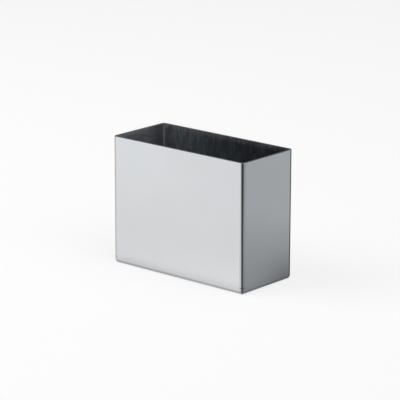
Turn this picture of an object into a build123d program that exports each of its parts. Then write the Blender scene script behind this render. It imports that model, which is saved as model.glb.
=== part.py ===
from build123d import *
import os
from math import isclose

# Open-topped holder for sugar packets: a box folded and welded from stainless sheet.
# Millimetres, +Z up. The origin is the middle of the underside, +X runs along the
# long walls and -Y is the front. A strip bent at three corners makes the four walls,
# a weld closes it at the back left corner, and a pressed pan welded all round its
# edge makes the bottom.

# Driving dimensions
length = 100.0  # outside, along the long walls
width = 45.0  # outside, front to back
height = 78.0  # table to rim
sheet = 1.0  # thickness of the strip and of the pan
bend_radius = 1.4  # inside radius of the bends and of the pan's pressed edges
rim_round = 0.25  # rim edges, broken and polished
pan_upstand = 1.4  # straight edge of the pan above its pressed radius
base_weld_gap = 0.6  # butt gap between pan and strip
base_weld_crown = 0.2  # how far the base weld stands out inside the box
seam_root_gap = 0.3  # room between the strip's free ends at the inside corner
seam_bead_leg = 0.9  # inside bead of the corner weld, along either wall
seam_bead_crown = 0.1  # swell of that bead
seam_bead_stop = 1.0  # the bead ends this far below the rim
touching = 1e-6  # places closer than this are the same place

# Sizes that follow from them
corner_radius = bend_radius + sheet
inside_length = length - 2 * sheet
inside_width = width - 2 * sheet
pan_height = corner_radius + pan_upstand
band_bottom = pan_height + base_weld_gap
band_height = height - band_bottom
seam_notch = sheet + seam_root_gap
seam_corner = (-length / 2, width / 2)
seam_inside = (-inside_length / 2, inside_width / 2)
seam_left_toe = (seam_inside[0], seam_inside[1] - seam_bead_leg)
seam_back_toe = (seam_inside[0] + seam_bead_leg, seam_inside[1])


def is_inside_bend(corner):
    """Tell whether a corner of the strip's outline is the inside of a bend."""
    along = isclose(abs(corner.X), inside_length / 2, abs_tol=touching)
    across = isclose(abs(corner.Y), inside_width / 2, abs_tol=touching)
    return along and across


def is_free_end(edge):
    """Tell whether an edge of the strip lies on one of its two free ends."""
    middle = edge.center()
    from_left = middle.X - seam_corner[0]
    from_back = seam_corner[1] - middle.Y
    return isclose(max(from_left, from_back), seam_notch, abs_tol=touching)


os.makedirs("parts", exist_ok=True)

# Pressed base pan: flat bottom, radiused edges, ball corners and a short upstand
with BuildPart() as base_pan:
    with BuildSketch():
        Rectangle(length, width)
    extrude(amount=pan_height)
    pan_bottom = base_pan.faces().sort_by(Axis.Z)[0]
    fillet(base_pan.edges().filter_by(Axis.Z) + pan_bottom.edges(), radius=corner_radius)
    offset(amount=-sheet, openings=base_pan.faces().sort_by(Axis.Z)[-1])
base_pan.part.label = "base_pan"
export_step(base_pan.part, "parts/base_pan.step")

# Base weld: a ring that fills the butt gap, flush outside and crowned inside
with BuildPart() as base_weld:
    with BuildSketch(Plane.XY.offset(pan_height)):
        RectangleRounded(length, width, corner_radius)
        RectangleRounded(
            inside_length - 2 * base_weld_crown,
            inside_width - 2 * base_weld_crown,
            bend_radius - base_weld_crown,
            mode=Mode.SUBTRACT,
        )
    extrude(amount=base_weld_gap)
    weld_sides = base_weld.faces().filter_by(Axis.Z)
    crown_edges = [edge for side in weld_sides for edge in side.inner_wires()[0].edges()]
    fillet(crown_edges, radius=base_weld_crown)
base_weld.part.label = "base_weld"
export_step(base_weld.part, "parts/base_weld.step")

# Wall band: the strip, bent at three corners, its free ends open to the back left corner
with BuildPart() as wall_band:
    with BuildSketch(Plane.XY.offset(band_bottom)) as strip:
        RectangleRounded(length, width, corner_radius)
        Rectangle(inside_length, inside_width, mode=Mode.SUBTRACT)
        with Locations(seam_corner):
            Rectangle(seam_notch, seam_notch, align=(Align.MIN, Align.MAX), mode=Mode.SUBTRACT)
        fillet(strip.vertices().filter_by(is_inside_bend), radius=bend_radius)
    extrude(amount=band_height)
    rim_edges = wall_band.faces().sort_by(Axis.Z)[-1].edges()
    fillet(rim_edges.filter_by(is_free_end, reverse=True), radius=rim_round)
wall_band.part.label = "wall_band"
export_step(wall_band.part, "parts/wall_band.step")

# Corner weld: fills the corner between the free ends, dressed outside to the same
# radius as the bends, with a bead left along the inside
with BuildPart() as corner_weld:
    with BuildSketch(Plane.XY.offset(band_bottom)) as fill:
        RectangleRounded(length, width, corner_radius)
        with Locations(seam_corner):
            Rectangle(seam_notch, seam_notch, align=(Align.MIN, Align.MAX), mode=Mode.INTERSECT)
        chamfer(fill.vertices().sort_by_distance(seam_corner)[-1], length=seam_root_gap)
    extrude(amount=band_height)
    fill_top = corner_weld.faces().sort_by(Axis.Z)[-1]
    fillet(fill_top.edges().filter_by(GeomType.CIRCLE), radius=rim_round)
    with BuildSketch(Plane.XY.offset(band_bottom)):
        with BuildLine():
            Polyline(seam_left_toe, seam_inside, seam_back_toe)
            SagittaArc(seam_back_toe, seam_left_toe, seam_bead_crown)
        make_face()
    extrude(amount=band_height - seam_bead_stop)
corner_weld.part.label = "corner_weld"
export_step(corner_weld.part, "parts/corner_weld.step")
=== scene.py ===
import logging
import math
from abc import ABC, abstractmethod
from dataclasses import dataclass
from enum import Enum, IntEnum
from typing import Any, Callable, ClassVar, Mapping, Optional, Union

import bmesh
import bpy
from mathutils import Matrix, Vector


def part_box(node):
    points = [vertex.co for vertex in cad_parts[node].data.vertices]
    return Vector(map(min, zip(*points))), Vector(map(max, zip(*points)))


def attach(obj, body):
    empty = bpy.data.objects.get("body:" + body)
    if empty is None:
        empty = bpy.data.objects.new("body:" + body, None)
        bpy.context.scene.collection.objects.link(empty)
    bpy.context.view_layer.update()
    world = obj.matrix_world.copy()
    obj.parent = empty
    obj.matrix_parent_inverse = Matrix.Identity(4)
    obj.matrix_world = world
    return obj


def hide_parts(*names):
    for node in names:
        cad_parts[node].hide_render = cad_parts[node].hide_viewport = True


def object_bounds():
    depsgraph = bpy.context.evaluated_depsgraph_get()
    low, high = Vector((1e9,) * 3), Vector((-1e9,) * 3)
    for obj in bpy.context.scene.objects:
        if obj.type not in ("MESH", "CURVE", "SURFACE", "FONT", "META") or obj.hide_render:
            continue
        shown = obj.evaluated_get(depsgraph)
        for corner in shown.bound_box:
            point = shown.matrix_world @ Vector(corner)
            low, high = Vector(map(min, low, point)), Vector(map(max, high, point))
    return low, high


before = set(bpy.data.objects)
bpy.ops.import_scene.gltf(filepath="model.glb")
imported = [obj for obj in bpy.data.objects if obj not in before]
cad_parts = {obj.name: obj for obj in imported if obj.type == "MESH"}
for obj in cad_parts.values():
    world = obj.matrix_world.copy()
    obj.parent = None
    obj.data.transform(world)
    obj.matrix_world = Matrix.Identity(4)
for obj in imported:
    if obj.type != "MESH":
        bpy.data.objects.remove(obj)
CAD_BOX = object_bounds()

log = logging.getLogger("packet_holder")

BODY = "root"
SHEET_SLOT = "sheet_steel"
WELD_SLOT = "weld_steel"

# Sizes of the real holder, in metres, that no node's box gives
SHEET = 0.0010
HALF_SHEET = SHEET / 2
BEND_RADIUS = 0.0014
CORNER_RADIUS = BEND_RADIUS + SHEET
RIM_ROUND = 0.00025
SEAM_ROOT_GAP = 0.0003
SEAM_NOTCH = SHEET + SEAM_ROOT_GAP
SEAM_BEAD_LEG = 0.0009
SEAM_BEAD_CROWN = 0.0001
SEAM_BEAD_STOP = 0.0010
BASE_WELD_CROWN = 0.0002

# Segments of a bend and of the rim's rounding, and the turn above which an edge is shaded sharp
BEND_STEPS = 24
RIM_STEPS = 4
SHARP_TURN = math.radians(35.0)

# Places closer than NEAR count as one, and one within ON_FACE of a face of the sheet lies on it
NEAR = 1e-6
ON_FACE = SHEET / 8

Piece = bpy.types.Object
Face = bpy.types.MeshPolygon
Material = bpy.types.Material
Socket = bpy.types.NodeSocket
Triple = tuple[float, float, float]
Limits = tuple[float, float]
Shades = tuple[tuple[float, Triple], ...]
Operand = Union["Term", float]
Test = Callable[[Vector], bool]


class Element(Enum):
    """What a selection in edit mode is made of."""

    VERTS = "VERT"
    EDGES = "EDGE"
    FACES = "FACE"


class Grain(Enum):
    """Which way the brushing of a sheet runs: the stretch of its marks and the turn of its sheen."""

    UPRIGHT = ((1.0, 1.0, 0.15), 0.0)
    LEVEL = ((1.0, 0.10, 1.0), 0.25)
    LENGTHWISE = ((0.10, 1.0, 1.0), 0.0)

    @property
    def stretch(self) -> Triple:
        """Factor for each axis; the small one lies along the marks."""
        return self.value[0]

    @property
    def turn(self) -> float:
        """Share of a full turn from the level direction to the one across the marks."""
        return self.value[1]


class WallSide(IntEnum):
    """A side of the walls, by the place of its finish in the walls' list."""

    OUTSIDE = 0
    INSIDE_LONG = 1
    INSIDE_END = 2
    RIM = 3


@dataclass(frozen=True)
class Clouds:
    """A cloudy noise: clouds per metre, octaves, and what each octave keeps of the one before."""

    scale: float
    octaves: float = 2.0
    kept: float = 0.5


class Term:
    """A shader socket that can stand in Python arithmetic."""

    def __init__(self, graph: "ShaderGraph", socket: Socket) -> None:
        """Keeps the socket and the graph that it belongs to."""
        self.graph = graph
        self.socket = socket

    def _math(self, operation: str, first: Operand, second: Operand) -> "Term":
        """Adds one Math node with two operands and gives its result."""
        inputs = {0: first, 1: second}
        return self.graph.term("ShaderNodeMath", {"operation": operation}, inputs)

    def __add__(self, other: Operand) -> "Term":
        """Sum."""
        return self._math("ADD", self, other)

    def __radd__(self, other: Operand) -> "Term":
        """Sum with a number on the left."""
        return self._math("ADD", other, self)

    def __sub__(self, other: Operand) -> "Term":
        """Difference."""
        return self._math("SUBTRACT", self, other)

    def __rsub__(self, other: Operand) -> "Term":
        """Difference with a number on the left."""
        return self._math("SUBTRACT", other, self)

    def __mul__(self, other: Operand) -> "Term":
        """Product."""
        return self._math("MULTIPLY", self, other)

    def __rmul__(self, other: Operand) -> "Term":
        """Product with a number on the left."""
        return self._math("MULTIPLY", other, self)

    def __pow__(self, other: Operand) -> "Term":
        """Power."""
        return self._math("POWER", self, other)

    def __abs__(self) -> "Term":
        """Size without sign."""
        return self._math("ABSOLUTE", self, 0.0)

    def greatest(self, other: Operand) -> "Term":
        """The larger of two values."""
        return self._math("MAXIMUM", self, other)

    def angle(self, ahead: "Term") -> "Term":
        """Angle of a point that lies this far aside and so far ahead."""
        return self._math("ARCTAN2", self, ahead)

    def between(self, low: float, high: float) -> "Term":
        """Smooth step from 0 at low to 1 at high."""
        inputs = {"Value": self, "From Min": low, "From Max": high}
        return self.graph.term("ShaderNodeMapRange", {"interpolation_type": "SMOOTHSTEP"}, inputs)


class ShaderGraph:
    """The nodes of one material or of the world."""

    # The Mix node's sockets for colours: share, first, second and result
    MIX_SHARE, MIX_FIRST, MIX_SECOND, MIX_RESULT = 0, 6, 7, 2

    def __init__(self, tree: bpy.types.NodeTree) -> None:
        """Takes over a node tree and empties it."""
        self.tree = tree
        tree.nodes.clear()

    def node(
        self,
        kind: str,
        settings: Optional[Mapping[str, Any]] = None,
        inputs: Optional[Mapping[Union[str, int], Any]] = None,
    ) -> bpy.types.Node:
        """Adds a node of any type.

        Args:
            kind: The node's type.
            settings: Its properties, set before its sockets.
            inputs: A value or a link for each socket named.

        Returns:
            The new node.
        """
        made = self.tree.nodes.new(kind)
        for name, value in (settings or {}).items():
            if name == "stops":
                self._set_stops(made.color_ramp, value)
            else:
                setattr(made, name, value)
        for name, value in (inputs or {}).items():
            socket = made.inputs[name]
            if isinstance(value, Term):
                self.tree.links.new(value.socket, socket)
            elif isinstance(value, Socket):
                self.tree.links.new(value, socket)
            else:
                socket.default_value = value
        return made

    @staticmethod
    def _set_stops(ramp: bpy.types.ColorRamp, stops: Shades) -> None:
        """Gives a ramp its stops.

        Args:
            ramp: The ramp.
            stops: Place and colour of each stop, in order.
        """
        while len(ramp.elements) > 1:
            ramp.elements.remove(ramp.elements[-1])
        for number, (place, colour) in enumerate(stops):
            stop = ramp.elements.new(place) if number else ramp.elements[0]
            stop.position = place
            stop.color = (*colour, 1.0)

    def term(
        self,
        kind: str,
        settings: Optional[Mapping[str, Any]] = None,
        inputs: Optional[Mapping[Union[str, int], Any]] = None,
        output: Union[str, int] = 0,
    ) -> Term:
        """Adds a node, as the node method does, and wraps one of its outputs."""
        return Term(self, self.node(kind, settings, inputs).outputs[output])

    def place(self) -> Socket:
        """Where a point lies in the holder's frame."""
        return self.node("ShaderNodeTexCoord").outputs["Object"]

    def axes(self) -> tuple[Term, Term, Term]:
        """Where a point lies in the holder's frame, axis by axis."""
        parts = self.node("ShaderNodeSeparateXYZ", None, {"Vector": self.place()})
        return tuple(Term(self, output) for output in parts.outputs)

    def noise(self, place: Any, clouds: Clouds) -> Term:
        """Cloudy noise from 0 to 1 about a half."""
        sizes = {"Scale": clouds.scale, "Detail": clouds.octaves, "Roughness": clouds.kept}
        return self.term("ShaderNodeTexNoise", None, {"Vector": place, **sizes})

    def stretched(self, place: Any, scale: Triple) -> Socket:
        """Coordinates drawn out along the axes; a small factor gives long marks."""
        inputs = {"Vector": place, "Scale": scale}
        return self.node("ShaderNodeMapping", None, inputs).outputs["Vector"]

    def blend(self, factor: Operand, first: Any, second: Any) -> Socket:
        """Mixes two colours.

        Args:
            factor: Share of the second colour.
            first: Colour at 0, a link or three numbers.
            second: Colour at 1, likewise.

        Returns:
            The mixed colour.
        """
        pair = [(*colour, 1.0) if isinstance(colour, tuple) else colour for colour in (first, second)]
        inputs = {self.MIX_SHARE: factor, self.MIX_FIRST: pair[0], self.MIX_SECOND: pair[1]}
        return self.node("ShaderNodeMix", {"data_type": "RGBA"}, inputs).outputs[self.MIX_RESULT]

    def bump(self, height: Term, distance: float, under: Any = None) -> Socket:
        """Roughens a normal by a height.

        Args:
            height: The relief, from 0 to 1.
            distance: How deep the relief is, in metres.
            under: A normal that it is laid over.

        Returns:
            The new normal.
        """
        inputs = {"Height": height, "Distance": distance, "Strength": 1.0}
        if under is not None:
            inputs["Normal"] = under
        return self.node("ShaderNodeBump", None, inputs).outputs["Normal"]

    def metal(
        self,
        colour: Socket,
        roughness: Term,
        normal: Socket,
        constants: Optional[Mapping[str, float]] = None,
    ) -> None:
        """Ends the graph in bare metal.

        Args:
            colour: Its colour.
            roughness: Its roughness.
            normal: Its normal.
            constants: Other sockets, each with a number that is the same all over.
        """
        inputs = {"Base Color": colour, "Metallic": 1.0, "Roughness": roughness, "Normal": normal}
        inputs.update(constants or {})
        self.close(self.node("ShaderNodeBsdfPrincipled", None, inputs).outputs["BSDF"])

    def mixture(self, share: Term, first: bpy.types.Node, second: bpy.types.Node) -> None:
        """Ends the graph in a mixture of two shaders, by the share of the second."""
        inputs = {0: share, 1: first.outputs[0], 2: second.outputs[0]}
        self.close(self.node("ShaderNodeMixShader", None, inputs).outputs["Shader"])

    def close(self, shader: Socket, output: str = "ShaderNodeOutputMaterial") -> None:
        """Links a finished shader to an output node of the type given."""
        self.node(output, None, {"Surface": shader})


def new_graph(name: str) -> tuple[Material, ShaderGraph]:
    """Makes an empty material.

    Args:
        name: The material's name.

    Returns:
        The material and its graph.
    """
    material = bpy.data.materials.new(name)
    material.use_nodes = True
    return material, ShaderGraph(material.node_tree)


@dataclass(frozen=True)
class Bends:
    """Where the outside of the holder is folded into bends, for its finishes and their painted shade and
    dark line to follow.

    A bend's limits are parts of its outside radius, counted from where it leaves a wall. The
    taper is how much the painted dark line on the front bend widens, in metres per metre of height.
    """

    half_length: float
    half_width: float
    tangent: Limits = (-0.10, 0.30)
    dark_line_from_side: Limits = (0.50, 0.61)
    dark_line_from_end: Limits = (0.56, 0.66)
    dark_line_taper: float = 0.0075
    back_dark_line_from_side: Limits = (0.62, 0.76)
    back_dark_line_from_end: Limits = (-0.20, 0.08)

    @staticmethod
    def _past(place: Term, half: float, limits: Limits) -> Term:
        """Share of the way round a bend, 0 before the first limit and 1 past the second."""
        low, high = (CORNER_RADIUS * part for part in limits)
        return (place - (half - CORNER_RADIUS)).between(low, high)

    def upright(self, graph: ShaderGraph) -> Term:
        """Share of an upright bend at a point.

        Args:
            graph: The graph of the finish.

        Returns:
            0 on the flat walls, 1 well inside a bend.
        """
        along, across, _ = graph.axes()
        from_side = self._past(abs(along), self.half_length, self.tangent)
        return from_side * self._past(abs(across), self.half_width, self.tangent)

    def painted_dark_line(self, graph: ShaderGraph) -> Term:
        """Share of the painted dark line along an upright bend's crown, a painted reflection, which in
        front grows narrower towards the foot.

        Args:
            graph: The graph of the finish.

        Returns:
            0 off the painted dark line, 1 on it.
        """
        along, across, up = graph.axes()
        widened = abs(along) + self.dark_line_taper * up
        front = self._past(widened, self.half_length, self.dark_line_from_side)
        front *= self._past(-1.0 * across, self.half_width, self.dark_line_from_end)
        back = self._past(abs(along), self.half_length, self.back_dark_line_from_side)
        back *= self._past(across, self.half_width, self.back_dark_line_from_end)
        return front + back

    def whole(self, graph: ShaderGraph) -> Term:
        """Share of any bend at a point, the one round the foot too.

        Args:
            graph: The graph of the finish.

        Returns:
            0 on the flat walls, 1 well inside a bend.
        """
        low, high = (CORNER_RADIUS * part for part in self.tangent)
        foot = (CORNER_RADIUS - graph.axes()[2]).between(low, high)
        return self.upright(graph).greatest(foot)


class Finish(ABC):
    """A finish of the steel."""

    name: str

    @abstractmethod
    def paint(self, graph: ShaderGraph) -> None:
        """Lays the finish into an empty graph."""

    def material(self) -> Material:
        """Makes the finish into a material.

        Returns:
            The material.
        """
        material, graph = new_graph(self.name)
        self.paint(graph)
        return material


@dataclass(frozen=True)
class PolishedSheet(Finish):
    """Stainless sheet polished to a soft mirror, as on the outside, with painted shade on the bends and a
    painted dark reflection line along their crowns.
    """

    bends: Bends
    name: str = "polished_sheet"
    steel: Triple = (0.700, 0.707, 0.726)
    hazed: Triple = (0.688, 0.695, 0.712)
    # Painted shade: the darker colour of every bend, the foot's too, against the flat walls.
    bend_shade: Triple = (0.540, 0.547, 0.562)
    # Painted reflection: the near black of the dark line along the bends' crowns.
    painted_dark_line: Triple = (0.035, 0.036, 0.038)
    dark_line_least: float = 0.86
    roughness: float = 0.085
    haze: float = 0.04
    bend_haze: float = 0.04
    haze_clouds: Clouds = Clouds(45.0, octaves=4.0, kept=0.6)
    haze_limits: Limits = (0.35, 0.75)
    waves: Clouds = Clouds(16.0, octaves=1.0)
    wave_depth: float = 2.5e-5
    lines: Clouds = Clouds(5200.0)
    line_stretch: Triple = (0.01, 0.01, 1.0)
    line_depth: float = 1.2e-7

    def paint(self, graph: ShaderGraph) -> None:
        """Lays the finish into an empty graph.

        Args:
            graph: The graph.
        """
        place = graph.place()
        haze = graph.noise(place, self.haze_clouds).between(*self.haze_limits)
        wave = graph.noise(place, self.waves)
        lines = graph.noise(graph.stretched(place, self.line_stretch), self.lines)
        normal = graph.bump(lines, self.line_depth, graph.bump(wave, self.wave_depth))
        bends = self.bends.whole(graph)
        # Painted reflection: a dark line along the bends' crowns, its strength varying with the haze.
        painted_dark_line = self.bends.painted_dark_line(graph) * (self.dark_line_least + (1.0 - self.dark_line_least) * haze)
        # Painted shade: the bends take a darker colour than the flat walls.
        colour = graph.blend(bends, graph.blend(haze, self.steel, self.hazed), self.bend_shade)
        colour = graph.blend(painted_dark_line, colour, self.painted_dark_line)
        graph.metal(colour, self.roughness + self.haze * haze + self.bend_haze * bends, normal)


@dataclass(frozen=True)
class BrushedSheet(Finish):
    """Stainless sheet with the brushed finish of the inside.

    It is hazier by the rim, which was buffed, and where a seam is given it darkens towards the welded
    corner in painted shade.
    """

    name: str
    grain: Grain
    rim: float
    roughness: float
    sheen: float
    seam: Optional[Limits] = None
    bright: Triple = (0.805, 0.840, 0.886)
    dull: Triple = (0.450, 0.471, 0.500)
    # Painted shade: the colour, share and reach of the darkening towards the welded corner.
    corner_shade: Triple = (0.330, 0.346, 0.366)
    corner_shade_depth: float = 0.85
    corner_shade_reach: Limits = (0.003, 0.017)
    spread: float = 0.10
    rim_haze: float = 0.15
    rim_reach: float = 0.0035
    streaks: Clouds = Clouds(900.0, octaves=3.0, kept=0.6)
    streak_limits: Limits = (0.25, 0.75)
    streak_depth: float = 1.0e-5
    hairs: Clouds = Clouds(4600.0)
    hair_depth: float = 4.0e-6

    def paint(self, graph: ShaderGraph) -> None:
        """Lays the finish into an empty graph.

        Args:
            graph: The graph.
        """
        along, across, up = graph.axes()
        drawn = graph.stretched(graph.place(), self.grain.stretch)
        streak = graph.noise(drawn, self.streaks).between(*self.streak_limits)
        hair = graph.noise(drawn, self.hairs)
        normal = graph.bump(hair, self.hair_depth, graph.bump(streak, self.streak_depth))
        colour = graph.blend(streak, self.dull, self.bright)
        # Painted shade darkening the wall towards the welded corner.
        if self.seam is not None:
            aside, away = along - self.seam[0], across - self.seam[1]
            by_corner = 1.0 - ((aside * aside + away * away) ** 0.5).between(*self.corner_shade_reach)
            colour = graph.blend(self.corner_shade_depth * by_corner, colour, self.corner_shade)
        buffed = up.between(self.rim - self.rim_reach, self.rim)
        roughness = self.roughness + self.spread * hair + self.rim_haze * buffed
        brushing = {"Anisotropic": self.sheen, "Anisotropic Rotation": self.grain.turn}
        graph.metal(colour, roughness, normal, brushing)


@dataclass(frozen=True)
class CutEdge(Finish):
    """The rim: a sheared edge, broken with a stone and buffed."""

    name: str = "cut_edge"
    # The rim's steel is darker than the walls': partly the sheared edge's own dullness, partly painted
    # shade of the dark overhead that the rim faces.
    steel: Triple = (0.40, 0.405, 0.415)
    worn: Triple = (0.47, 0.475, 0.485)
    roughness: float = 0.26
    spread: float = 0.12
    nicks: Clouds = Clouds(1500.0, octaves=3.0, kept=0.6)
    nick_depth: float = 6.0e-6

    def paint(self, graph: ShaderGraph) -> None:
        """Lays the finish into an empty graph.

        Args:
            graph: The graph.
        """
        nicks = graph.noise(graph.place(), self.nicks)
        colour = graph.blend(nicks, self.steel, self.worn)
        normal = graph.bump(nicks, self.nick_depth)
        graph.metal(colour, self.roughness + self.spread * nicks, normal)


@dataclass(frozen=True)
class WeldMetal(Finish):
    """Stainless weld metal, as laid or dressed; where dressed over a bend it carries the bends' painted
    shade and painted dark line, as the sheet does.
    """

    name: str
    steel: Triple
    stained: Triple
    roughness: float
    bends: Optional[Bends] = None
    # Painted shade over the dressed weld's bend, and the painted dark line of the bends' crowns.
    weld_bend_shade: Triple = (0.29, 0.292, 0.298)
    painted_dark_line: Triple = PolishedSheet.painted_dark_line
    spread: float = 0.10
    stains: Clouds = Clouds(260.0, octaves=3.0)
    stain_limits: Limits = (0.4, 0.7)
    grit: Clouds = Clouds(3800.0)
    grit_depth: float = 2.0e-6

    def paint(self, graph: ShaderGraph) -> None:
        """Lays the finish into an empty graph.

        Args:
            graph: The graph.
        """
        place = graph.place()
        stain = graph.noise(place, self.stains).between(*self.stain_limits)
        normal = graph.bump(graph.noise(place, self.grit), self.grit_depth)
        colour = graph.blend(stain, self.steel, self.stained)
        if self.bends is not None:
            # Painted shade on the bend and a painted dark line on its crown.
            colour = graph.blend(self.bends.upright(graph), colour, self.weld_bend_shade)
            colour = graph.blend(self.bends.painted_dark_line(graph), colour, self.painted_dark_line)
        graph.metal(colour, self.roughness + self.spread * stain, normal)


class Finishes:
    """All the finishes of the holder, made once."""

    def __init__(self, high: Vector) -> None:
        """Makes the materials.

        Args:
            high: Highest corner of the holder's box, which stands about the upright axis.
        """
        bends = Bends(high.x, high.y)
        seam = (SHEET - high.x, high.y - SHEET)
        bright, dulled = (0.700, 0.706, 0.722), (0.655, 0.660, 0.672)
        bare, stained = (0.395, 0.405, 0.424), (0.335, 0.343, 0.358)
        long_walls = BrushedSheet("brushed_long", Grain.UPRIGHT, high.z, roughness=0.21, sheen=0.8)
        end_walls = BrushedSheet("brushed_end", Grain.LEVEL, high.z, roughness=0.31, sheen=0.9, seam=seam)
        pan = BrushedSheet("brushed_pan", Grain.LENGTHWISE, high.z, roughness=0.31, sheen=0.0)
        dressed = WeldMetal("weld_dressed", bright, dulled, roughness=0.12, bends=bends)
        as_laid = WeldMetal("weld_bead", bare, stained, roughness=0.45)
        self.outside = PolishedSheet(bends).material()
        self.inside_long = long_walls.material()
        self.inside_end = end_walls.material()
        self.inside_pan = pan.material()
        self.rim = CutEdge().material()
        self.weld_dressed = dressed.material()
        self.weld_bead = as_laid.material()


def open_up(name: str) -> Piece:
    """Opens the piece just added in edit mode, selected all over.

    Args:
        name: The name it gets.

    Returns:
        The piece.
    """
    piece = bpy.context.active_object
    piece.name = piece.data.name = name
    bpy.ops.object.mode_set(mode="EDIT")
    bpy.ops.mesh.select_all(action="SELECT")
    return piece


def start_rectangle(name: str, length: float, width: float, height: float) -> Piece:
    """Adds a level rectangle and leaves it in edit mode, selected all over.

    Args:
        name: Name of the new piece.
        length: Size along X.
        width: Size along Y.
        height: Where it lies along Z.

    Returns:
        The new piece.
    """
    bpy.ops.object.select_all(action="DESELECT")
    bpy.ops.mesh.primitive_plane_add(size=1.0)
    piece = open_up(name)
    bpy.ops.transform.resize(value=(length, width, 1.0))
    bpy.ops.transform.translate(value=(0.0, 0.0, height))
    return piece


def start_ring(name: str, low: Vector, high: Vector, thickness: float) -> Piece:
    """Adds a flat ring with round corners at the foot of a box and leaves it in edit mode.

    Args:
        name: Name of the new piece.
        low: Lowest corner of the box.
        high: Highest corner of the box.
        thickness: How far the ring reaches in from the sides of the box.

    Returns:
        The new piece.
    """
    piece = start_rectangle(name, high.x - low.x, high.y - low.y, low.z)
    bpy.ops.mesh.bevel(offset=CORNER_RADIUS, segments=BEND_STEPS, affect="VERTICES")
    bpy.ops.mesh.inset(thickness=thickness)
    bpy.ops.mesh.delete(type="FACE")
    return piece


def start_rod(name: str, radius: float, axis: Vector, low: float, high: float, sides: int) -> Piece:
    """Adds an upright rod and leaves it in edit mode, selected all over.

    Args:
        name: Name of the new piece.
        radius: Radius of the rod.
        axis: A point of its axis.
        low: Height of its foot.
        high: Height of its top.
        sides: Sides of the rod.

    Returns:
        The new piece.
    """
    bpy.ops.object.select_all(action="DESELECT")
    bpy.ops.mesh.primitive_cylinder_add(vertices=sides, radius=radius, depth=high - low)
    piece = open_up(name)
    bpy.ops.transform.translate(value=(axis.x, axis.y, (low + high) / 2))
    return piece


def raise_all(height: float) -> None:
    """Extrudes all of the piece in edit mode upwards."""
    bpy.ops.mesh.select_all(action="SELECT")
    bpy.ops.mesh.extrude_region_move(TRANSFORM_OT_translate={"value": (0.0, 0.0, height)})


def middle_of(item: Union[bmesh.types.BMVert, bmesh.types.BMEdge, bmesh.types.BMFace]) -> Vector:
    """Middle of a vertex, an edge or a face."""
    corners = [item] if isinstance(item, bmesh.types.BMVert) else item.verts
    return sum((corner.co for corner in corners), Vector()) / len(corners)


def pick(piece: Piece, element: Element, test: Test) -> None:
    """Selects, in edit mode, what lies where a test says.

    Args:
        piece: The piece in edit mode.
        element: What to select.
        test: Given the middle of a vertex, edge or face, says whether it is taken.
    """
    bpy.ops.mesh.select_mode(type=element.value)
    bpy.ops.mesh.select_all(action="DESELECT")
    mesh = bmesh.from_edit_mesh(piece.data)
    items = {Element.VERTS: mesh.verts, Element.EDGES: mesh.edges, Element.FACES: mesh.faces}
    for item in items[element]:
        if test(middle_of(item)):
            item.select_set(True)
    mesh.select_flush_mode()
    bmesh.update_edit_mesh(piece.data)


def round_off(piece: Piece, test: Test, radius: float, steps: int) -> None:
    """Rounds the edges that a test picks, of a piece in edit mode, with so many segments."""
    pick(piece, Element.EDGES, test)
    bpy.ops.mesh.bevel(offset=radius, segments=steps, affect="EDGES")


def slice_off(point: Vector, outward: Vector) -> None:
    """Cuts the closed piece in edit mode with a plane and caps what is left.

    Args:
        point: A point of the plane.
        outward: Its normal, towards the side that is dropped.
    """
    bpy.ops.mesh.select_all(action="SELECT")
    bpy.ops.mesh.bisect(
        plane_co=point, plane_no=outward, clear_outer=True, use_fill=True, threshold=NEAR
    )


def close_up() -> None:
    """Leaves edit mode with merged doubles and with all faces outward."""
    bpy.ops.mesh.select_all(action="SELECT")
    bpy.ops.mesh.remove_doubles(threshold=NEAR)
    bpy.ops.mesh.normals_make_consistent(inside=False)
    bpy.ops.object.mode_set(mode="OBJECT")


def modify(piece: Piece, kind: str, settings: Mapping[str, Any]) -> None:
    """Puts the active piece through a modifier.

    Args:
        piece: The active piece, in object mode.
        kind: The modifier's type.
        settings: Its properties.
    """
    made = piece.modifiers.new(kind, kind)
    for name, value in settings.items():
        setattr(made, name, value)
    bpy.ops.object.modifier_apply(modifier=made.name)


def settle(piece: Piece) -> Piece:
    """Leaves edit mode with closed, outward, smoothly shaded faces, flat ones staying flat.

    Args:
        piece: The piece in edit mode.

    Returns:
        The same piece.
    """
    close_up()
    bpy.ops.object.shade_smooth_by_angle(angle=SHARP_TURN)
    modify(piece, "WEIGHTED_NORMAL", {"keep_sharp": True})
    return piece


def depth_inside(place: Vector, low: Vector, high: Vector) -> float:
    """How far a place lies inside the upright sides of a box with round corners.

    Args:
        place: The place.
        low: Lowest corner of the box.
        high: Highest corner of the box.

    Returns:
        Its distance from the nearest side, or the nearest bend's outer face.
    """
    half, middle = (high - low) / 2, (high + low) / 2
    across = Vector((half.x - abs(place.x - middle.x), half.y - abs(place.y - middle.y)))
    arm = Vector((max(CORNER_RADIUS - across.x, 0.0), max(CORNER_RADIUS - across.y, 0.0)))
    return CORNER_RADIUS - arm.length


@dataclass
class HolderPiece(ABC):
    """A piece of the holder, modelled in the box of the node that it stands for."""

    NODE: ClassVar[str]
    SLOT: ClassVar[str]
    low: Vector
    high: Vector

    @abstractmethod
    def build(self) -> Piece:
        """Models the piece."""

    @abstractmethod
    def coats(self, finishes: Finishes) -> list[Material]:
        """The finishes of its faces, in slot order."""

    @abstractmethod
    def coat_of(self, face: Face) -> int:
        """The place of a face's finish in that list."""

    def install(self, finishes: Finishes) -> None:
        """Builds the piece, dresses it and puts it in the place of its node.

        Args:
            finishes: The holder's finishes.
        """
        piece = self.build()
        piece.data.materials.clear()
        for material in self.coats(finishes):
            piece.data.materials.append(material)
        for face in piece.data.polygons:
            face.material_index = self.coat_of(face)
        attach(piece, BODY)
        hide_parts(self.NODE)
        log.info("%s: %d faces, stands for %s", piece.name, len(piece.data.polygons), self.NODE)


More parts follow.
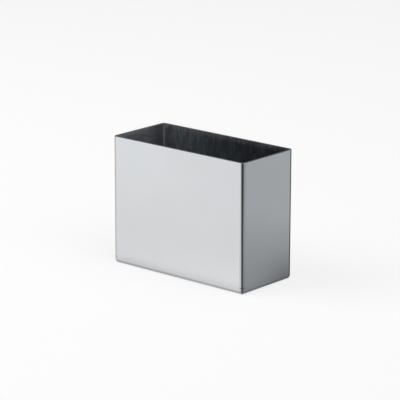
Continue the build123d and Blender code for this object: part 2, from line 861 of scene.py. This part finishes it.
class WeldRun(HolderPiece):
    """A weld, dressed outside and left as laid inside."""

    SLOT = WELD_SLOT

    def coats(self, finishes: Finishes) -> list[Material]:
        """The dressed finish and the one left as laid."""
        return [finishes.weld_dressed, finishes.weld_bead]


@dataclass
class WallBand(HolderPiece):
    """The strip of sheet that makes the four walls, open at the welded corner."""

    NODE = "wall_band"
    SLOT = SHEET_SLOT

    @property
    def seam(self) -> Vector:
        """Sharp outside corner at the seam, at the strip's foot."""
        return Vector((self.low.x, self.high.y, self.low.z))

    def build(self) -> Piece:
        """Folds the strip up.

        Returns:
            The walls.
        """
        piece = start_ring("wall_sheet", self.low, self.high, SHEET)
        self._square_inside(piece)
        raise_all(self.high.z - self.low.z)
        self._open_seam(piece)
        round_off(piece, self._on_rim_edge, RIM_ROUND, RIM_STEPS)
        return settle(piece)

    def _inside_seam_bend(self, place: Vector) -> bool:
        """Tells whether a place at the foot lies on the inner face of the bend at the seam corner."""
        arm = place - self.seam - Vector((CORNER_RADIUS, -CORNER_RADIUS, 0.0))
        return arm.length < BEND_RADIUS + HALF_SHEET and arm.x < NEAR and arm.y > -NEAR

    def _by_seam(self, place: Vector) -> bool:
        """Tells whether a place lies within the rounding of the seam corner."""
        offset = place - self.seam
        return max(offset.x, -offset.y) < CORNER_RADIUS + NEAR

    def _in_notch(self, place: Vector) -> bool:
        """Tells whether a place lies in the gap between the free ends."""
        offset = place - self.seam
        return max(offset.x, -offset.y) < SEAM_NOTCH + NEAR

    def _at_seam_end(self, place: Vector) -> bool:
        """Tells whether a place by the seam lies on the strip's foot or rim."""
        return self._by_seam(place) and not self.low.z + NEAR < place.z < self.high.z - NEAR

    def _on_rim_edge(self, place: Vector) -> bool:
        """Tells whether a place lies on the rim's outer or inner edge, clear of the seam."""
        on_edge = not ON_FACE <= depth_inside(place, self.low, self.high) <= SHEET - ON_FACE
        return on_edge and place.z > self.high.z - NEAR and not self._in_notch(place)

    def _square_inside(self, piece: Piece) -> None:
        """Draws the inside of the seam corner to a point, where the free ends meet.

        Args:
            piece: The strip's foot, in edit mode.
        """
        inside = self.seam + Vector((SHEET, -SHEET, 0.0))
        pick(piece, Element.VERTS, self._inside_seam_bend)
        bpy.ops.transform.resize(value=(0.0, 0.0, 1.0), center_override=inside)
        bpy.ops.mesh.remove_doubles(threshold=NEAR)

    def _open_seam(self, piece: Piece) -> None:
        """Cuts the corner out between the two free ends and caps them.

        Args:
            piece: The closed strip, in edit mode.
        """
        cut = self.seam + Vector((SEAM_NOTCH, -SEAM_NOTCH, 0.0))
        for across in (Vector((1.0, 0.0, 0.0)), Vector((0.0, 1.0, 0.0))):
            pick(piece, Element.VERTS, self._by_seam)
            bpy.ops.mesh.select_mode(type="FACE", use_expand=True)
            bpy.ops.mesh.bisect(plane_co=cut, plane_no=across, threshold=NEAR)
        pick(piece, Element.FACES, self._in_notch)
        bpy.ops.mesh.delete(type="FACE")
        bpy.ops.mesh.select_all(action="SELECT")
        bpy.ops.mesh.fill_holes(sides=0)
        pick(piece, Element.FACES, self._at_seam_end)
        bpy.ops.mesh.dissolve_faces()

    def coats(self, finishes: Finishes) -> list[Material]:
        """The finishes of the walls' sides."""
        return [finishes.outside, finishes.inside_long, finishes.inside_end, finishes.rim]

    def coat_of(self, face: Face) -> WallSide:
        """Says which side of the walls a face belongs to.

        Args:
            face: A face of the walls.

        Returns:
            The side.
        """
        if face.center.z > self.high.z - RIM_ROUND:
            return WallSide.RIM
        if depth_inside(face.center, self.low, self.high) < HALF_SHEET:
            return WallSide.OUTSIDE
        at_end = abs(face.normal.x) > abs(face.normal.y)
        return WallSide.INSIDE_END if at_end else WallSide.INSIDE_LONG


@dataclass
class BasePan(HolderPiece):
    """The pressed bottom, with ball corners and a short upstand."""

    NODE = "base_pan"
    SLOT = SHEET_SLOT
    edge_steps: int = 16

    def build(self) -> Piece:
        """Presses the pan.

        Returns:
            The pan.
        """
        size = self.high - self.low
        piece = start_rectangle("pan_sheet", size.x, size.y, self.low.z)
        raise_all(size.z)
        pick(piece, Element.FACES, self._at_top)
        bpy.ops.mesh.delete(type="FACE")
        bpy.ops.mesh.select_all(action="SELECT")
        bpy.ops.mesh.normals_make_consistent(inside=False)
        round_off(piece, self._below_top, CORNER_RADIUS, self.edge_steps)
        bpy.ops.object.mode_set(mode="OBJECT")
        modify(piece, "SOLIDIFY", {"thickness": SHEET, "offset": -1.0, "use_even_offset": True})
        bpy.ops.object.mode_set(mode="EDIT")
        return settle(piece)

    def _at_top(self, place: Vector) -> bool:
        """Tells whether a place lies at the top of the upstand."""
        return place.z > self.high.z - NEAR

    def _below_top(self, place: Vector) -> bool:
        """Tells whether a place lies below the top of the upstand."""
        return not self._at_top(place)

    def coats(self, finishes: Finishes) -> list[Material]:
        """The finishes of the outside and of the inside."""
        return [finishes.outside, finishes.inside_pan]

    def coat_of(self, face: Face) -> int:
        """Says whether a face belongs to the inside of the pan.

        Args:
            face: A face of the pan.

        Returns:
            1 for the inside, 0 for the outside and the edge.
        """
        place = face.center
        half = (self.high - self.low) / 2
        shell = min(half.x - abs(place.x), half.y - abs(place.y), place.z - self.low.z)
        towards_middle = face.normal.dot(Vector((-place.x, -place.y, half.x)))
        return int(shell > HALF_SHEET and towards_middle > 0.0)


@dataclass
class CornerWeld(WeldRun):
    """The weld that closes the strip at the back left corner."""

    NODE = "corner_weld"
    seam: Vector
    round_sides: int = 96
    bead_sides: int = 192
    ripple_cuts: int = 100
    ripple_depth: float = 4.0e-5
    ripple_pitch: float = 1.1e-3
    ripple_half_angle: float = math.radians(14.0)
    hollow_share: float = 0.4

    def _at(self, along: float, down: float) -> Vector:
        """A point by its distance from the left wall's and the back wall's outer face."""
        return Vector((self.seam.x + along, self.seam.y - down, self.low.z))

    @property
    def bead_top(self) -> float:
        """Where the bead stops below the rim."""
        return self.high.z - SEAM_BEAD_STOP

    @property
    def bead_radius(self) -> float:
        """Radius of the bead's round face."""
        half_chord = SEAM_BEAD_LEG / math.sqrt(2.0)
        return (half_chord**2 + SEAM_BEAD_CROWN**2) / (2 * SEAM_BEAD_CROWN)

    @property
    def bead_axis(self) -> Vector:
        """A point on the axis of the bead's round face."""
        offset = SHEET + SEAM_BEAD_LEG / 2 - (self.bead_radius - SEAM_BEAD_CROWN) / math.sqrt(2.0)
        return self._at(offset, offset)

    def _on_rim_edge(self, place: Vector) -> bool:
        """Tells whether a place lies on the outer edge of the weld's top."""
        arm = (place - self._at(CORNER_RADIUS, CORNER_RADIUS)).to_2d()
        return place.z > self.high.z - NEAR and arm.length > CORNER_RADIUS - ON_FACE

    def _at_bead_middle(self, place: Vector) -> bool:
        """Tells whether a place lies halfway up the bead."""
        return abs(place.z - (self.low.z + self.bead_top) / 2) < NEAR

    def _in_hollow(self, place: Vector) -> bool:
        """Tells whether a place on the bead's round face lies between two ripples.

        Args:
            place: A place on the plain bead.

        Returns:
            Whether it is pressed in, which the face's two long edges never are.
        """
        arm = (place - self.bead_axis).to_2d()
        on_face = arm.length > self.bead_radius - SEAM_BEAD_CROWN / 2
        clear = abs(arm.angle_signed(Vector((1.0, -1.0)))) < self.ripple_half_angle
        phase = (place.z - self.low.z) / self.ripple_pitch
        return on_face and clear and phase - math.floor(phase) < self.hollow_share

    def _fill(self) -> Piece:
        """Fills the gap between the free ends, dressed to the bends' radius outside.

        Returns:
            The fill.
        """
        axis = self._at(CORNER_RADIUS, CORNER_RADIUS)
        piece = start_rod("seam_weld", CORNER_RADIUS, axis, self.low.z, self.high.z, self.round_sides)
        notch = self._at(SEAM_NOTCH, SEAM_NOTCH)
        slice_off(notch, Vector((1.0, 0.0, 0.0)))
        slice_off(notch, Vector((0.0, -1.0, 0.0)))
        slice_off(self._at(SEAM_NOTCH, SHEET), Vector((1.0, -1.0, 0.0)))
        round_off(piece, self._on_rim_edge, RIM_ROUND, RIM_STEPS)
        close_up()
        return piece

    def _bead(self) -> Piece:
        """Lays the bead along the inside, with its ripples.

        Returns:
            The bead.
        """
        piece = start_rod(
            "seam_bead", self.bead_radius, self.bead_axis, self.low.z, self.bead_top, self.bead_sides
        )
        inside = self._at(SHEET, SHEET)
        slice_off(inside, Vector((-1.0, 0.0, 0.0)))
        slice_off(inside, Vector((0.0, 1.0, 0.0)))
        slice_off(self._at(SEAM_NOTCH, SHEET), Vector((-1.0, 1.0, 0.0)))
        pick(piece, Element.EDGES, self._at_bead_middle)
        bpy.ops.mesh.subdivide(number_cuts=self.ripple_cuts)
        pick(piece, Element.VERTS, self._in_hollow)
        step = self.ripple_depth / math.sqrt(2.0)
        bpy.ops.transform.translate(value=(-step, step, 0.0))
        close_up()
        return piece

    def build(self) -> Piece:
        """Makes the fill and the bead one closed piece.

        Returns:
            The weld.
        """
        bead = self._bead()
        piece = self._fill()
        modify(piece, "BOOLEAN", {"operation": "UNION", "solver": "EXACT", "object": bead})
        bpy.data.objects.remove(bead)
        bpy.ops.object.mode_set(mode="EDIT")
        return settle(piece)

    def coat_of(self, face: Face) -> int:
        """Says whether a face was left as laid, 1, or dressed, 0."""
        offset = face.center - self.seam
        return int(min(offset.x, -offset.y) > SEAM_NOTCH / 2)


@dataclass
class BaseWeld(WeldRun):
    """The weld all round between the pan and the walls."""

    NODE = "base_weld"
    crown_steps: int = 4

    def build(self) -> Piece:
        """Lays the ring.

        Returns:
            The ring.
        """
        piece = start_ring("base_bead", self.low, self.high, SHEET + BASE_WELD_CROWN)
        raise_all(self.high.z - self.low.z)
        round_off(piece, self._on_crown_edge, BASE_WELD_CROWN, self.crown_steps)
        return settle(piece)

    def _on_crown_edge(self, place: Vector) -> bool:
        """Tells whether a place lies on the ring's upper or lower inner edge."""
        level = self.low.z + NEAR < place.z < self.high.z - NEAR
        return not level and depth_inside(place, self.low, self.high) > SHEET

    def coat_of(self, face: Face) -> int:
        """Says whether a face was left as laid, 1, or dressed, 0."""
        return int(depth_inside(face.center, self.low, self.high) > HALF_SHEET)


def lay_out(name: str, reach: float, height: float, material: Material) -> Piece:
    """Lays a square of the stage about the holder's middle.

    Args:
        name: Its name.
        reach: Half of its side.
        height: Where it lies along Z.
        material: What it shows.

    Returns:
        The square.
    """
    square = start_rectangle(name, 2 * reach, 2 * reach, height)
    bpy.ops.object.mode_set(mode="OBJECT")
    square.data.materials.append(material)
    return square


@dataclass(frozen=True)
class SurroundCard:
    """The glowing card round the foot that only the steel shows, shaded softly from side to side and
    darkened towards the foot in a painted shadow of the holder.

    A place on it is known by its bearing from the nearest point of the foot, in degrees, 0
    being the front and 90 the right. Each shade is given with its distance from the foot,
    and the shades before the front and the right wall with those for either end of the wall,
    as they show in it from the bearing of sight.
    """

    half_length: float
    half_width: float
    sight_deg: float
    reach: float = 0.9
    fade: Limits = (0.54, 0.81)
    front: tuple[Shades, Shades] = (
        ((0.02, (0.935, 0.932, 0.940)), (0.085, (0.938, 0.934, 0.925)), (0.17, (0.982, 1.000, 1.000))),
        ((0.02, (0.990, 0.992, 0.992)), (0.065, (0.940, 0.932, 0.918)), (0.14, (0.936, 0.937, 0.943))),
    )
    # The right, left and back shades darken towards the foot: a painted shadow of the holder on the card.
    right: tuple[Shades, Shades] = (
        ((0.024, (0.345, 0.362, 0.370)), (0.079, (0.424, 0.443, 0.453)), (0.114, (0.478, 0.499, 0.510))),
        ((0.010, (0.225, 0.236, 0.242)), (0.044, (0.385, 0.402, 0.411)), (0.094, (0.488, 0.510, 0.520))),
    )
    corner: Shades = ((0.00, (0.38, 0.39, 0.40)), (0.20, (0.33, 0.34, 0.35)))
    left: Shades = ((0.00, (0.45, 0.46, 0.463)), (0.08, (0.60, 0.61, 0.615)), (0.28, (0.72, 0.73, 0.735)))
    back: Shades = ((0.00, (0.20, 0.21, 0.213)), (0.08, (0.36, 0.375, 0.38)), (0.28, (0.56, 0.575, 0.58)))
    front_bearings: tuple[float, ...] = (-95.0, -55.0, 1.0, 42.0)
    right_bearings: tuple[float, ...] = (42.0, 86.0, 142.0, 156.0)
    corner_bearings: tuple[float, ...] = (-40.0, 0.0, 90.0, 110.0)
    back_bearings: Limits = (95.0, 150.0)
    # A painted contact shadow: close to the foot the card darkens towards the foot colour, over the width,
    # by the depth and with the falloff given below.
    foot_shadow_width: float = 0.024
    foot_shadow_depth: float = 0.42
    foot_shadow_falloff: float = 2.0
    foot: Triple = (0.12, 0.12, 0.12)

    def build(self, lift: float) -> None:
        """Lays the card.

        Args:
            lift: How far above the floor it lies.
        """
        card = lay_out("surround_card", self.reach, lift, self._material())
        for rays in ("camera", "diffuse", "shadow", "transmission"):
            setattr(card, f"visible_{rays}", False)

    def _shade(self, graph: ShaderGraph, shades: Shades, distance: Term) -> Socket:
        """A colour that follows the distance from the foot.

        Args:
            graph: The card's graph.
            shades: Distances and colours.
            distance: The distance of a place.

        Returns:
            The colour.
        """
        stops = [(place / self.reach, colour) for place, colour in shades]
        share = distance * (1.0 / self.reach)
        return graph.node("ShaderNodeValToRGB", {"stops": stops}, {"Fac": share}).outputs["Color"]

    @staticmethod
    def _sector(bearing: Term, limits: tuple[float, ...]) -> Term:
        """Share of a sector that starts, is whole, starts to fade and ends at the limits, in degrees."""
        start, whole, fade, end = (math.radians(limit) for limit in limits)
        return bearing.between(start, whole) * (1.0 - bearing.between(fade, end))

    def _material(self) -> Material:
        """Makes the card's paint.

        Returns:
            The material, clear towards the card's rim.
        """
        material, graph = new_graph("surround_card")
        along, across, _ = graph.axes()
        east = (along - self.half_length).greatest(0.0) - (-1.0 * along - self.half_length).greatest(0.0)
        ahead = (-1.0 * across - self.half_width).greatest(0.0) - (across - self.half_width).greatest(0.0)
        bearing = east.angle(ahead)
        distance = (east * east + ahead * ahead) ** 0.5
        behind = abs(bearing).between(*(math.radians(limit) for limit in self.back_bearings))
        colour = graph.blend(
            behind, self._shade(graph, self.left, distance), self._shade(graph, self.back, distance)
        )
        drift = math.tan(math.radians(self.sight_deg))
        to_right = (along + drift * ahead).between(-self.half_length, self.half_length)
        to_back = (across - (1.0 / drift) * east).between(-self.half_width, self.half_width)
        front = [self._shade(graph, shades, ahead) for shades in self.front]
        right = [self._shade(graph, shades, east) for shades in self.right]
        for sector, shade in (
            (self.corner_bearings, self._shade(graph, self.corner, distance)),
            (self.front_bearings, graph.blend(to_right, *front)),
            (self.right_bearings, graph.blend(to_back, *right)),
        ):
            colour = graph.blend(self._sector(bearing, sector), colour, shade)
        # Painted contact shadow round the foot.
        close = (1.0 - distance * (1.0 / self.foot_shadow_width)).greatest(0.0)
        colour = graph.blend(self.foot_shadow_depth * close**self.foot_shadow_falloff, colour, self.foot)
        clear = graph.node("ShaderNodeBsdfTransparent")
        paint = graph.node("ShaderNodeEmission", None, {"Color": colour})
        graph.mixture(1.0 - distance.between(*self.fade), clear, paint)
        return material


@dataclass(frozen=True)
class Lamp:
    """A large soft lamp: where it hangs, its power in watts and the side of its square."""

    name: str
    place: Triple
    power: float
    size: float

    def hang(self, aim: Vector) -> None:
        """Hangs the lamp, out of the steel's sight.

        Args:
            aim: Where it points.
        """
        data = bpy.data.lights.new(self.name, "AREA")
        data.energy = self.power
        data.size = self.size
        lamp = bpy.data.objects.new(self.name, data)
        bpy.context.scene.collection.objects.link(lamp)
        lamp.location = self.place
        lamp.rotation_euler = (aim - lamp.location).to_track_quat("-Z", "Y").to_euler()
        lamp.visible_glossy = False


@dataclass
class Studio:
    """Floor, card, lamps and surroundings; the window's angles are in degrees."""

    low: Vector
    high: Vector
    sight_deg: float
    card_lift: float = 1e-5
    floor_reach: float = 6.0
    floor_grey: float = 0.9
    white_share: float = 0.75
    horizon: float = 1.0
    horizon_rise: Limits = (0.02, 0.2)
    ceiling: float = 0.22
    window: float = 2.5
    window_bearing: float = 79.0
    window_rise: float = 30.0
    window_spread: float = 36.0
    key: Lamp = Lamp("key", (-0.75, -0.65, 0.95), power=11.5, size=1.0)
    fill: Lamp = Lamp("fill", (0.2, 0.1, 1.5), power=8.0, size=1.6)

    def build(self) -> None:
        """Sets everything up."""
        self._floor()
        flat_end, flat_side = self.high.x - CORNER_RADIUS, self.high.y - CORNER_RADIUS
        SurroundCard(flat_end, flat_side, self.sight_deg).build(self.card_lift)
        for lamp in (self.key, self.fill):
            lamp.hang((self.low + self.high) / 2)
        self._surroundings()
        log.info("studio: floor, card, two lamps and surroundings")

    def _floor(self) -> None:
        """Lays the pale floor, lifted towards white but keeping the shadow."""
        material, graph = new_graph("pale_floor")
        path = graph.node("ShaderNodeLightPath")
        seen = Term(graph, path.outputs["Is Camera Ray"])
        for rays in ("Is Glossy Ray", "Is Transmission Ray"):
            seen = seen.greatest(Term(graph, path.outputs[rays]))
        matt = {"Color": (self.floor_grey, self.floor_grey, self.floor_grey, 1.0)}
        paper = graph.node("ShaderNodeBsdfDiffuse", None, matt)
        white = graph.node("ShaderNodeEmission", None, {"Strength": 1.0})
        graph.mixture(self.white_share * seen, paper, white)
        lay_out("floor", self.floor_reach, 0.0, material)

    def _surroundings(self) -> None:
        """Makes the white surroundings, darker overhead but for a soft window."""
        world = bpy.data.worlds.new("surroundings")
        bpy.context.scene.world = world
        world.use_nodes = True
        graph = ShaderGraph(world.node_tree)
        direction = graph.node("ShaderNodeTexCoord").outputs["Generated"]
        parts = graph.node("ShaderNodeSeparateXYZ", None, {"Vector": direction})
        overhead = Term(graph, parts.outputs["Z"]).between(*self.horizon_rise)
        bearing, rise = math.radians(self.window_bearing), math.radians(self.window_rise)
        level_part = math.cos(rise)
        towards = (level_part * math.sin(bearing), -level_part * math.cos(bearing), math.sin(rise))
        facing = graph.term(
            "ShaderNodeVectorMath", {"operation": "DOT_PRODUCT"}, {0: direction, 1: towards}, "Value"
        )
        window = facing.between(math.cos(math.radians(self.window_spread)), 1.0)
        level = self.horizon - (self.horizon - self.ceiling) * overhead + self.window * window
        seen = Term(graph, graph.node("ShaderNodeLightPath").outputs["Is Camera Ray"])
        lit = graph.node("ShaderNodeBackground", None, {"Strength": level.greatest(seen)})
        graph.close(lit.outputs["Background"], "ShaderNodeOutputWorld")


@dataclass
class PhotoCamera:
    """The camera, at the photograph's angle."""

    azimuth_deg: float = 40.763
    elevation_deg: float = 15.332
    distance: float = 1.3053
    lens_mm: float = 200.06
    aim_right: float = -0.00112
    aim_height: float = 0.04304
    roll_deg: float = 0.161

    def build(self) -> None:
        """Stands the camera and makes it the scene's own."""
        turn, rise, roll = map(math.radians, (self.azimuth_deg, self.elevation_deg, self.roll_deg))
        back = Vector((math.sin(turn) * math.cos(rise), -math.cos(turn) * math.cos(rise), math.sin(rise)))
        level = Vector((math.cos(turn), math.sin(turn), 0.0))
        upright = back.cross(level)
        right = math.cos(roll) * level + math.sin(roll) * upright
        up = math.cos(roll) * upright - math.sin(roll) * level
        data = bpy.data.cameras.new("photo_camera")
        data.lens = self.lens_mm
        camera = bpy.data.objects.new("photo_camera", data)
        bpy.context.scene.collection.objects.link(camera)
        aim = self.aim_right * level + Vector((0.0, 0.0, self.aim_height))
        turned = Matrix((right, up, back)).transposed().to_4x4()
        camera.matrix_world = Matrix.Translation(aim + self.distance * back) @ turned
        bpy.context.scene.camera = camera


def main() -> None:
    """Builds the holder and its studio, in order."""
    logging.basicConfig(level=logging.INFO, format="%(name)s: %(message)s")
    bpy.context.scene.view_settings.view_transform = "Standard"
    finishes = Finishes(CAD_BOX[1])
    walls = WallBand(*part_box("wall_band"))
    pan = BasePan(*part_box("base_pan"))
    corner_weld = CornerWeld(*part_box("corner_weld"), walls.seam)
    base_weld = BaseWeld(*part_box("base_weld"))
    for piece in (walls, pan, corner_weld, base_weld):
        piece.install(finishes)
    camera = PhotoCamera()
    camera.build()
    Studio(*CAD_BOX, camera.azimuth_deg).build()


if __name__ == "__main__":
    main()
